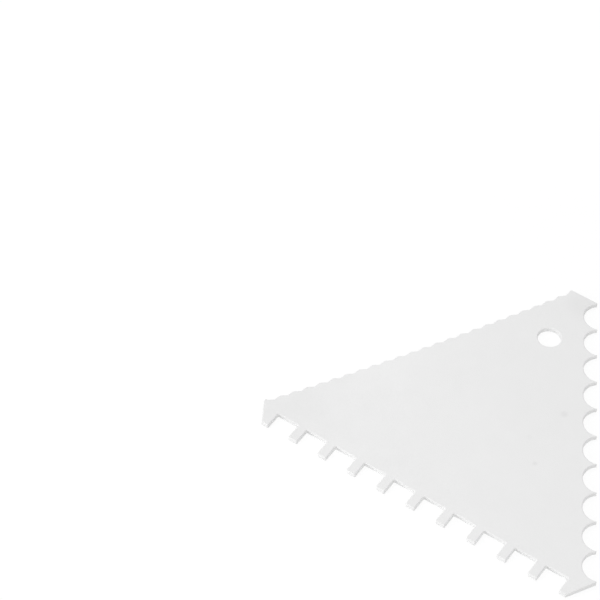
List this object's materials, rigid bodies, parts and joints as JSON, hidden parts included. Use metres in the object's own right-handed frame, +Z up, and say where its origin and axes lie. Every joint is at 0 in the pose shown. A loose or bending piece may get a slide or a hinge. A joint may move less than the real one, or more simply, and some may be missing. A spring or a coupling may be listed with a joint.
{
  "type": "cake comb",
  "caption": "Flat triangular icing comb with cut corners, square teeth, scallops and fine teeth along its sides, and a round hanging hole.",
  "frame": {"origin": "on the resting face, in the middle of the plate's overall width and depth", "axes": "+Z is up, across the plate's thickness. The row of square teeth runs along X and faces -Y, and the corner with the hanging hole points to +Y. The scallops face +X and the fine teeth face -X."},
  "size_m": [0.1104, 0.0956, 0.0014],
  "materials": {
    "plate": "white, moulded, with a faint satin sheen"
  },
  "bodies": {
    "root": {"comb": "plate"}
  },
  "joints": []
}
